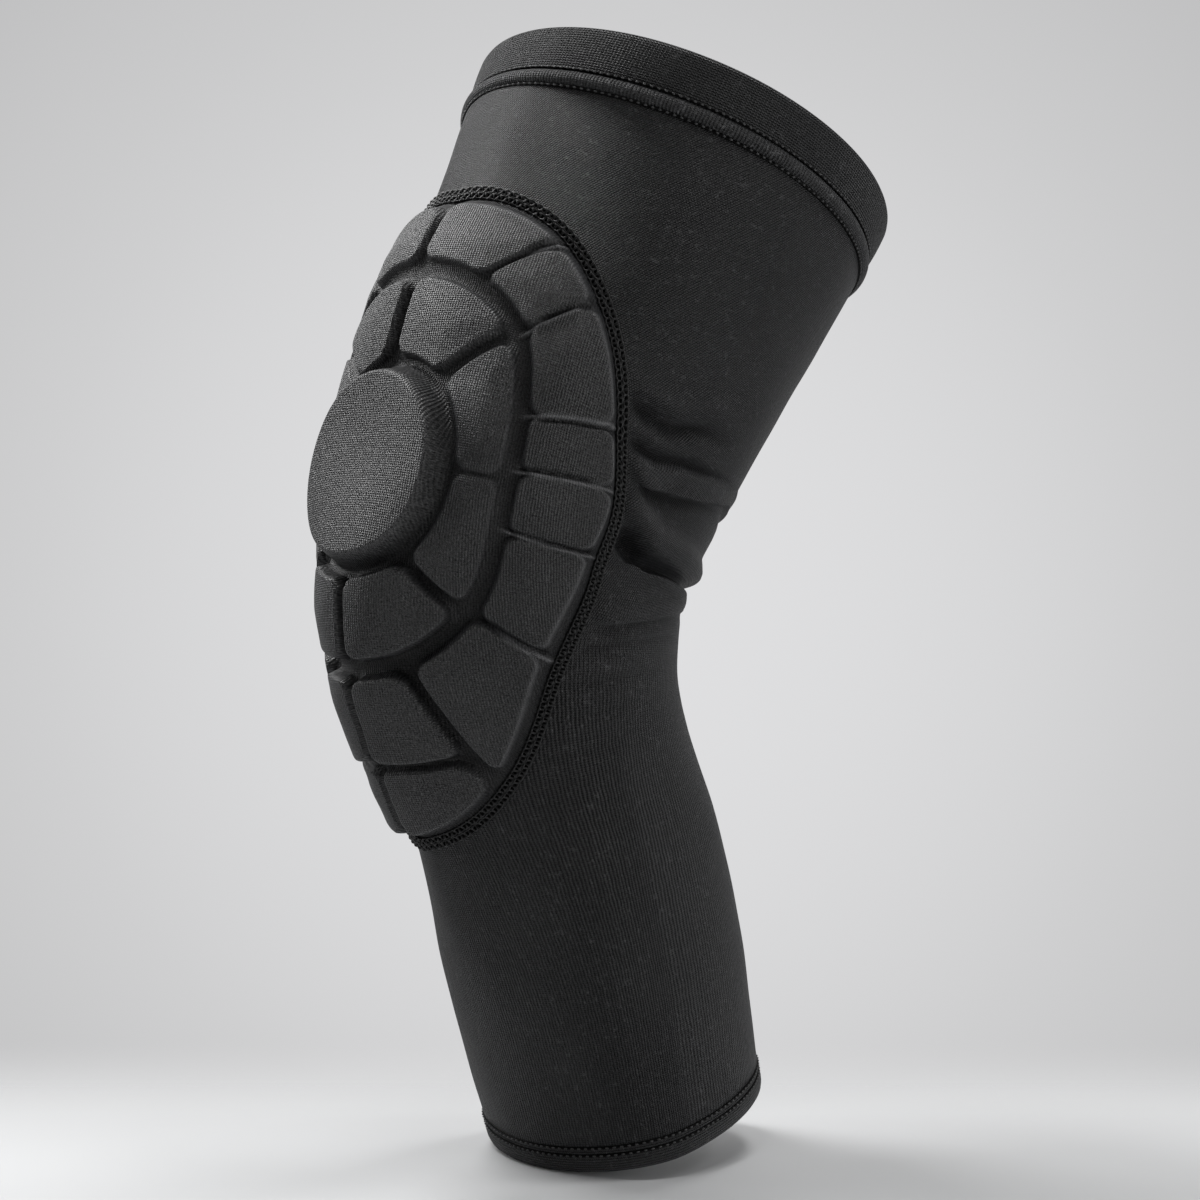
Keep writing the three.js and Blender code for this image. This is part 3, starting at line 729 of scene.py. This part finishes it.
def block_depth(side, radius, first, second, near, far, lean=NO_LEAN, slope=1.0):
    """How far a point of the layout is inside a block with rounded corners, in mm; negative outside it."""
    share = (radius - near) / (far - near)
    spread = np.degrees(1 / np.maximum(radius, 1)) / 2
    part = np.clip(share, -GROOVE_REACH, 1 + GROOVE_REACH)
    start = first[0] + lean[0] + (first[1] + lean[1] - first[0] - lean[0]) * part + first[2] * spread
    stop = second[0] + (second[1] - second[0]) * part - second[2] * spread
    to_mm = np.radians(1) * radius
    x = np.abs(side - (start + stop) / 2) * to_mm - (stop - start) / 2 * to_mm + BLOCK_CORNER
    y = np.maximum(near - radius, (radius - far) * slope) + BLOCK_CORNER
    return BLOCK_CORNER - np.hypot(np.maximum(x, 0), np.maximum(y, 0)) - np.minimum(np.maximum(x, y), 0)


def wall(depth, foot, top):
    """Share of a form's height at a depth inside its edge: a hollow foot, then a steep wall with a round
    top."""
    return RAMP_SHARE * smooth(depth, RAMP_FOOT, top) + (1 - RAMP_SHARE) * smooth(depth, foot, top)


def pad_form(angle, radius):
    """Height of the pad's cloth over the sleeve, and its painted-light map: how much painted highlight it has
    over an edge there, and how much painted shade in a groove."""
    seam = outline(SEAM, angle)
    groove = outline(GROOVE, angle)
    around = np.abs(angle)
    across = np.sin(np.radians(angle))**2
    chest_drop = CHEST_DROP * (1 - smooth(around, *CHEST_ANGLES)) * smooth(radius, *CHEST_RADII)
    tip_drop = TIP_DROP * smooth(radius, chin(angle) - TIP_STARTS, chin(angle) + TIP_FULL)
    past_groove = smooth(radius, groove - BASE_SIDE_BLEND, groove + BASE_SIDE_BLEND)
    floor = BASE_TOP - BASE_SIDE_DROP * across * past_groove
    floor = floor - chest_drop - tip_drop * smooth(around, *TIP_ANGLES)
    floor = floor - BASE_LOW_DROP * smooth(around, *BASE_LOW_ANGLES)
    floor = floor - (floor - BASE_EDGE) * smooth(radius, seam - BASE_EDGE_STARTS, seam - BASE_EDGE_FULL)
    jaw = JAW_RISE * smooth(around, *JAW_ANGLES) * (1 - smooth(radius, *JAW_RADII))
    inner_top = INNER_TOP - INNER_SIDE_DROP * across + jaw
    outer_top = OUTER_TOP - OUTER_SIDE_DROP * across + jaw - chest_drop
    tip_top = OUTER_TOP - tip_drop
    best = floor
    stretch = np.zeros(radius.shape)
    painted_shade = np.ones(radius.shape)

    def raise_form(rise, depth, edge_highlight, walls=BLOCK_WALL):
        nonlocal best, stretch, painted_shade
        share = wall(depth, *walls)
        best = np.maximum(best, floor + rise * share)
        # painted highlight along the form's edge, and painted shade where the form is low
        stretch = np.maximum(stretch, edge_highlight * np.exp(-((depth - EDGE_AT) / EDGE_HALF)**2))
        painted_shade = np.minimum(painted_shade, 1 - share)

    def raise_block(top, depth, edge_highlight=EDGE_HIGHLIGHT):
        raise_form(top - floor + BLOCK_CROWN * smooth(depth, *CROWN_DEPTHS), depth, edge_highlight)

    inset = SIDE_INSET * smooth(around, *SIDE_INSET_STARTS) * (1 - smooth(around, *SIDE_INSET_ENDS))
    edge = seam - OUTER_INSET - inset
    # painted highlight on the edges, stronger on the outer blocks' rims beside the seam
    rim = EDGE_HIGHLIGHT + (RIM_HIGHLIGHT - EDGE_HIGHLIGHT) * smooth(radius, edge - RIM_STARTS, edge - RIM_FULL)
    inner_far, outer_near = groove - RING_GROOVE / 2, groove + RING_GROOVE / 2
    chin_near, chin_far = chin(angle) - CHIN_GROOVE / 2, chin(angle) + CHIN_GROOVE / 2
    for sign in (1, -1):
        side = sign * angle
        for i, pair in enumerate(zip(INNER_GROOVES, INNER_GROOVES[1:])):
            lean = [sign * v for v in INNER_LEAN] if i == 0 else NO_LEAN
            raise_block(inner_top, block_depth(side, radius, *pair, RING_START, inner_far, lean))
        *pairs, last_pair = zip(OUTER_GROOVES, OUTER_GROOVES[1:])
        for i, pair in enumerate(pairs):
            lean = [sign * v for v in OUTER_LEAN] if i == 0 else NO_LEAN
            raise_block(outer_top, block_depth(side, radius, *pair, outer_near, edge, lean, OUTER_SLOPE), rim)
        raise_block(outer_top, block_depth(side, radius, *last_pair, outer_near, chin_near))
        raise_block(tip_top, block_depth(side, radius, *last_pair, chin_far, edge, NO_LEAN, OUTER_SLOPE))
    tilt = DISC_TILT * (DISC_TILT_MIDDLE - np.cos(np.radians(angle)) * radius / DISC_RADIUS)
    flatter = DISC_FLAT * (1 - np.minimum(radius / DISC_RADIUS, 1)**2)
    raise_form(DISC_TOP + tilt - floor - flatter, DISC_FACE - radius, EDGE_HIGHLIGHT, DISC_WALL)
    for index, off, rise, half, start, stop in PINCHES:
        inner_end, outer_end = OUTER_GROOVES[index][:2]
        share = (radius - groove) / (seam - groove)
        middle = inner_end + (outer_end - inner_end) * share
        away = np.clip(((around - middle) * np.radians(1) * radius - off) / half, -1, 1)
        ends = smooth(share, start, start + PINCH_FADE_IN) * (1 - smooth(share, stop - PINCH_FADE_OUT, stop))
        pinch = ends * (1 - away * away)**2
        best = best + rise * pinch
        # a lip gets a painted highlight, a slit gets painted shade
        stretch = np.maximum(stretch, LIP_HIGHLIGHT * pinch) if rise > 0 else stretch * (1 - pinch)
        painted_shade = painted_shade * (1 - pinch) if rise > 0 else np.maximum(painted_shade, pinch)
    return best, np.stack([stretch, painted_shade], -1)


# Pad: one cloth skin over the disc and the blocks, as a height over the sleeve, with a plain underside. Its
# rings lie closest together where the cloth bends most: at the disc's wall, the grooves and the seam.
PAD_AROUND = 740
SKIN_FLOOR = 0.4
UNDER_RINGS = 8
PAST_SEAM = 0.6
DISC_RINGS_FROM, DISC_RINGS_TO = 29, 39
GROOVE_RINGS, CHIN_RINGS, SEAM_RINGS = 7, 6, 9
CHIN_RING_ANGLES = (138, 158)
PLAIN_SHARES = (0.4, 0.6)
RING_COUNTS = [9, 22, 11, 26, 8, 13, 8, 22]
angles = np.linspace(-180, 180, PAD_AROUND, endpoint=False)
reach = outline(SEAM, angles) + PAST_SEAM


def ring_radii():
    """Radii of the skin's rings for each direction."""
    groove, seam = outline(GROOVE, angles), outline(SEAM, angles)
    low, high = groove + GROOVE_RINGS, seam - SEAM_RINGS
    at_chin = smooth(np.abs(angles), *CHIN_RING_ANGLES)
    chin_low, chin_high = (
        low + (high - low) * share * (1 - at_chin) + (chin(angles) + off - low) * at_chin
        for share, off in zip(PLAIN_SHARES, (-CHIN_RINGS, CHIN_RINGS)))
    marks = [0, DISC_RINGS_FROM, DISC_RINGS_TO, groove - GROOVE_RINGS, low, chin_low, chin_high, high, reach]
    marks = [np.broadcast_to(mark, angles.shape) for mark in marks]
    parts = []
    for inner_mark, outer_mark, count in zip(marks, marks[1:], RING_COUNTS):
        share = np.arange(1, count + 1)[:, None] / count
        parts.append(inner_mark + (outer_mark - inner_mark) * share)
    return np.concatenate(parts)


def pad_points(radius, height):
    """Points of the skin at radii for each direction, and their cloth map."""
    across = radius * np.sin(np.radians(angles))
    up = radius * np.cos(np.radians(angles))
    at, turn = pad_place(across, up)
    return lifted(at, turn, height), np.stack([across, up], -1)


top_radii = ring_radii()
top_height, top_painted_light = pad_form(np.broadcast_to(angles, top_radii.shape), top_radii)
top_points, top_map = pad_points(top_radii, top_height)
under_points, under_map = pad_points(np.linspace(1, 0, UNDER_RINGS + 1)[:-1, None] * reach, SKIN_FLOOR)
middle_radii = np.zeros((1, PAD_AROUND))
middle_top, middle_map = pad_points(middle_radii, pad_form(angles[None, :], middle_radii)[0])
middle_under, _ = pad_points(middle_radii, SKIN_FLOOR)
rings = np.concatenate([top_points, under_points])
points = np.concatenate([rings.reshape(-1, 3), middle_top[0, :1], middle_under[0, :1]])
ring_map = np.concatenate([top_map, under_map]).reshape(-1, 2)
pad_map = np.concatenate([ring_map, middle_map[0, :1], middle_map[0, :1]])
# painted highlight and painted shade on the skin's top, none on its underside
pad_painted_light = np.zeros((len(points), 2))
pad_painted_light[:top_radii.size] = top_painted_light.reshape(-1, 2)
spin = np.arange(PAD_AROUND)
after = (spin + 1) % PAD_AROUND
top_centre, under_centre = len(points) - 2, len(points) - 1
last_ring = (len(rings) - 1) * PAD_AROUND
fans = np.concatenate([
    np.stack([np.full(PAD_AROUND, top_centre), after, spin], 1),
    np.stack([np.full(PAD_AROUND, under_centre), last_ring + spin, last_ring + after], 1),
])
blocks = [f"inner_block_{side}_{i}" for side in ("right", "left") for i in range(1, 5)]
blocks += [f"outer_block_{side}_{i}" for side in ("right", "left") for i in range(1, 9)]
blocks += ["tip_block_right", "tip_block_left"]
pad = mesh_piece(
    "pad_skin", points, grid_quads(len(rings), PAD_AROUND, False, True), PAD_KNIT,
    ["pad_base", "kneecap_disc"] + blocks, pad_map, fans, stretch=pad_painted_light)

TUBE_SIDES = 6
TUBE_END = 0.35


def tubes(name, paths, ups, radius, material, closed=False):
    """Threads along paths of equal length, an array of paths by points by 3, with ups beside them."""
    count, length = paths.shape[:2]
    if closed:
        tangent = unit(np.roll(paths, -1, axis=1) - np.roll(paths, 1, axis=1))
    else:
        tangent = unit(np.gradient(paths, axis=1))
    side = unit(np.cross(tangent, ups))
    lift = np.cross(side, tangent)
    turn = np.arange(TUBE_SIDES) * 2 * math.pi / TUBE_SIDES
    thick = np.full(length, radius)
    base = (np.arange(count) * length * TUBE_SIDES)[:, None]
    caps = None
    if not closed:
        thick[0] = thick[-1] = radius * TUBE_END
        first = np.arange(TUBE_SIDES)
        last = first + (length - 1) * TUBE_SIDES
        caps = np.concatenate([base + first[None, :], base + last[None, ::-1]])
    ring = np.cos(turn)[:, None] * side[:, :, None, :] + np.sin(turn)[:, None] * lift[:, :, None, :]
    tube_points = paths[:, :, None, :] + ring * thick[None, :, None, None]
    quads = (grid_quads(length, TUBE_SIDES, closed, True)[None] + base[:, :, None]).reshape(-1, 4)
    return mesh_piece(name, tube_points.reshape(-1, 3), quads[:, ::-1], material, others=caps)


# Overlock seam: a bed, near-black as painted shade between the loops, with two chains of crossing loops over
# it. The bed's points have a distance outwards from the seam's middle and a height over the sleeve.
SEAM_STEPS = 2881
SEAM_AHEAD = 0.5
LOOP_PITCH = 3.6
LOOP_POINTS = 12
LOOP_HEIGHT, LOOP_CROSSING = 1.9, 0.35
LOOP_BULGE = 0.45
LOOP_THREAD = 0.38
CHAIN_ROW = 1.15
CHAIN_HALF = 0.95
BED_POINTS = 3
BED = [(2.7, 0.25), (2.3, 1.1), (1.2, 1.45), (0.0, 1.5), (-1.2, 1.5), (-2.3, 1.4), (-2.7, 0.9), (0.0, 0.25)]
seam_angles = np.radians(np.linspace(-180, 180, SEAM_STEPS))
seam_radii = outline(SEAM, np.degrees(seam_angles))
seam_flat = np.stack([seam_radii * np.sin(seam_angles), seam_radii * np.cos(seam_angles)], 1)
seam_run = lengths(seam_flat)
seam_length = seam_run[-1]


def seam_middle(along):
    along = np.mod(along, seam_length)
    return np.interp(along, seam_run, seam_flat[:, 0]), np.interp(along, seam_run, seam_flat[:, 1])


def seam_path(along, off, height):
    """Points of the seam from the length along it, the distance outwards and the height over the sleeve."""
    x, y = seam_middle(along)
    ahead_x, ahead_y = seam_middle(along + SEAM_AHEAD)
    behind_x, behind_y = seam_middle(along - SEAM_AHEAD)
    dx, dy = ahead_x - behind_x, ahead_y - behind_y
    size = np.hypot(dx, dy)
    at, turn = pad_place(x - off * dy / size, y + off * dx / size)
    return lifted(at, turn, height), leg_normal(at, turn)


loop_count = round(seam_length / LOOP_PITCH)
along = np.linspace(0, seam_length, loop_count * LOOP_POINTS, endpoint=False)
phase = 2 * math.pi * along * loop_count / seam_length
strands, strand_ups = [], []
for row, late in ((CHAIN_ROW, 0.0), (-CHAIN_ROW, math.pi / 2)):
    twice = np.sin(2 * (phase + late))
    for flip in (1, -1):
        swing = row + flip * CHAIN_HALF * np.cos(phase + late)
        height = LOOP_HEIGHT + LOOP_CROSSING * flip * twice
        path, up_way = seam_path(along + LOOP_BULGE * twice, swing, height)
        strands.append(path)
        strand_ups.append(up_way)
tubes("overlock_loops", np.stack(strands), np.stack(strand_ups), LOOP_THREAD, THREAD, closed=True)
bed_along = np.linspace(0, seam_length, loop_count * BED_POINTS, endpoint=False)
bed_points = np.stack([seam_path(bed_along, off, height)[0] for off, height in BED])
mesh_piece(
    "overlock_bed", bed_points.reshape(-1, 3), grid_quads(len(BED), len(bed_along), True, True), SEAM_PAINTED_SHADE,
    ["pad_seam"])

# Rows of stitches round the leg, each over a near-black tube that is painted shade of its needle holes: name,
# place along the leg and height over the sleeve.
STITCH_ROWS = [
    ("welt_stitches_low", WELT_BOTTOM - 0.8, 0.15), ("welt_stitches_high", WELT_TOP + 0.8, 0.25),
    ("hem_stitches_high", HEM_TOP - 0.4, 0.1), ("hem_stitches_low", HEM_TOP - 3.1, 0.15),
]
ROW_STEPS = 1441
STITCH_LENGTH, STITCH_GAP = 1.2, 1.3
STITCH_RADIUS = 0.36
STITCH_LIFT = 0.2
STITCH_POINTS = 5
STITCH_ARCH, STITCH_SUNK = 0.9, 0.4
HOLES_STEPS = 480
HOLES_RADIUS = 0.5
HOLES_DROP = 0.15


def stitch_row(name, at, height):
    """Row of short stitches round the leg."""
    around = np.linspace(0, 360, ROW_STEPS)
    run = lengths(lifted(at, around, height))
    count = round(run[-1] / (STITCH_LENGTH + STITCH_GAP))
    starts = np.arange(count) * run[-1] / count
    part = np.linspace(0, 1, STITCH_POINTS)
    where = np.interp(starts[:, None] + part[None, :] * STITCH_LENGTH, run, around)
    arch = STITCH_RADIUS * (STITCH_ARCH * np.sin(math.pi * part) - STITCH_SUNK)[None, :]
    return tubes(name, lifted(at, where, height + arch), leg_normal(at, where), STITCH_RADIUS, STITCH)


def needle_holes(name, at, height):
    """Near-black tube round the leg under a row of stitches: painted shade of its needle holes."""
    around = np.linspace(0, 360, HOLES_STEPS, endpoint=False)[None, :]
    path = lifted(at, around, height)
    return tubes(name, path, leg_normal(at, around), HOLES_RADIUS, SEAM_PAINTED_SHADE, closed=True)


for name, at, height in STITCH_ROWS:
    needle_holes(name + "_holes", at, height - HOLES_DROP)
    stitch_row(name, at, height + STITCH_LIFT)

# Camera, fitted to the photo: its focal length and the height of its horizon over the middle are in pixels of
# the photo, and the point that it looks at is given to the right and up, in metres.
PHOTO_SIZE = 1200
FOCAL = 2550
HORIZON = 65
SENSOR = 36
VIEW_AZIMUTH = math.radians(50)
VIEW_ELEVATION = math.atan(HORIZON / FOCAL)
VIEW_DISTANCE = 0.8568
LOOK_RIGHT, LOOK_UP = 0.0257, 0.0039
level_back = Vector((math.sin(VIEW_AZIMUTH), -math.cos(VIEW_AZIMUTH), 0))
right = Vector((math.cos(VIEW_AZIMUTH), math.sin(VIEW_AZIMUTH), 0))
upward = Vector((0, 0, 1))
back = level_back * math.cos(VIEW_ELEVATION) + upward * math.sin(VIEW_ELEVATION)
camera = add("camera", bpy.data.cameras.new("camera"))
camera.data.sensor_width = SENSOR
camera.data.lens = SENSOR * FOCAL / PHOTO_SIZE
camera.location = right * LOOK_RIGHT + upward * LOOK_UP + back * VIEW_DISTANCE
camera.rotation_euler = (-back).to_track_quat("-Z", "Y").to_euler()
bpy.context.scene.camera = camera

# floor: pale, and fading into the backdrop behind the part
FLOOR_GAP = 0.0002
FLOOR_SPAN = 6.0
FLOOR_COLOUR = (0.58, 0.585, 0.59, 1)
FLOOR_ROUGH = 0.75
FLOOR_FADE = (-0.02, 0.22)
floor_z = float(min(v.co.z for v in bpy.data.objects["hem_band"].data.vertices)) - FLOOR_GAP
floor_corners = [(FLOOR_SPAN * x, FLOOR_SPAN * y, floor_z) for x, y in ((-1, -1), (1, -1), (1, 1), (-1, 1))]
floor_mesh = bpy.data.meshes.new("floor")
floor_mesh.from_pydata(floor_corners, [], [(0, 1, 2, 3)])
floor = add("floor", floor_mesh)
pale = Look("pale_floor")
pale.dress(Base_Color=FLOOR_COLOUR, Roughness=FLOOR_ROUGH)
depth_way = pale.nodes.new("ShaderNodeVectorMath")
depth_way.operation = "DOT_PRODUCT"
depth_way.inputs[1].default_value = (-back.x, -back.y, 0)
pale.links.new(pale.nodes.new("ShaderNodeTexCoord").outputs["Object"], depth_way.inputs[0])
fade = pale.ramp(depth_way.outputs["Value"], *FLOOR_FADE)
fade.node.interpolation_type = "SMOOTHSTEP"
faded = pale.nodes.new("ShaderNodeMixShader")
pale.links.new(fade, faded.inputs["Fac"])
pale.links.new(pale.shader.outputs[0], faded.inputs[1])
pale.links.new(pale.nodes.new("ShaderNodeBsdfTransparent").outputs[0], faded.inputs[2])
pale.links.new(faded.outputs[0], pale.nodes["Material Output"].inputs["Surface"])
floor_mesh.materials.append(pale.material)

# Backdrop: brightest straight behind the part, dark on the other side. Each tone has a share of the way round
# to there and a colour.
BACKDROP = [
    (0.5, (0.03, 0.03, 0.0303, 1)), (0.80, (0.12, 0.12, 0.1212, 1)), (0.93, (0.34, 0.34, 0.3434, 1)),
    (0.974, (0.53, 0.53, 0.5353, 1)), (0.987, (0.61, 0.61, 0.6161, 1)),
]
BACKDROP_DARK, BACKDROP_BRIGHT = (0.02, 0.02, 0.02, 1), (0.74, 0.74, 0.75, 1)
world = bpy.data.worlds.new("studio")
bpy.context.scene.world = world
world.use_nodes = True
sky, sky_links = world.node_tree.nodes, world.node_tree.links
facing = sky.new("ShaderNodeVectorMath")
facing.operation = "DOT_PRODUCT"
facing.inputs[1].default_value = tuple(-back)
sky_links.new(sky.new("ShaderNodeTexCoord").outputs["Generated"], facing.inputs[0])
half_way = sky.new("ShaderNodeMapRange")
half_way.inputs["From Min"].default_value = -1
sky_links.new(facing.outputs["Value"], half_way.inputs["Value"])
tones = sky.new("ShaderNodeValToRGB")
stops = tones.color_ramp.elements
stops[0].position, stops[0].color = 0.0, BACKDROP_DARK
stops[1].position, stops[1].color = 1.0, BACKDROP_BRIGHT
for position, colour in BACKDROP:
    stops.new(position).color = colour
sky_links.new(half_way.outputs["Result"], tones.inputs["Fac"])
sky_links.new(tones.outputs["Color"], sky["Background"].inputs["Color"])

# Soft lights aimed at the knee: name, azimuth to the right of the camera and elevation in degrees, power,
# size and distance.
LIGHT_SIZE = 0.35
LIGHT_DISTANCE = 1.35
LIGHTS = [
    ("back_left_low", -125, 12, 1.2, LIGHT_SIZE, LIGHT_DISTANCE),
    ("back_left", -125, 40, 3.6, LIGHT_SIZE, 0.8),
    ("back_left_high", -125, 68, 11.5, LIGHT_SIZE, LIGHT_DISTANCE),
    ("left", -95, 12, 2.0, LIGHT_SIZE, LIGHT_DISTANCE),
    ("front_fill", 20, 12, 1.8, 1.2, LIGHT_DISTANCE),
    ("top_front", -15, 68, 2.4, LIGHT_SIZE, LIGHT_DISTANCE),
    ("right", 90, 12, 1.9, LIGHT_SIZE, LIGHT_DISTANCE),
    ("right_high", 90, 40, 1.8, LIGHT_SIZE, LIGHT_DISTANCE),
    ("back_right", 125, 12, 0.8, LIGHT_SIZE, LIGHT_DISTANCE),
    ("back_right_high", 140, 65, 6.0, LIGHT_SIZE, LIGHT_DISTANCE),
    ("top_right", 55, 68, 2.8, LIGHT_SIZE, LIGHT_DISTANCE),
    ("low_right", 50, -8, 0.9, 0.3, 0.6),
]
for name, azimuth, elevation, power, size, distance in LIGHTS:
    lamp = bpy.data.lights.new(name, "AREA")
    lamp.shape = "DISK"
    lamp.size = size
    lamp.energy = power
    turn, lift = math.radians(azimuth), math.radians(elevation)
    level = right * math.sin(turn) + level_back * math.cos(turn)
    lamp_object = add(name, lamp)
    lamp_object.location = (level * math.cos(lift) + upward * math.sin(lift)) * distance
    lamp_object.rotation_euler = (-lamp_object.location).to_track_quat("-Z", "Y").to_euler()

bpy.context.scene.view_settings.view_transform = "Standard"
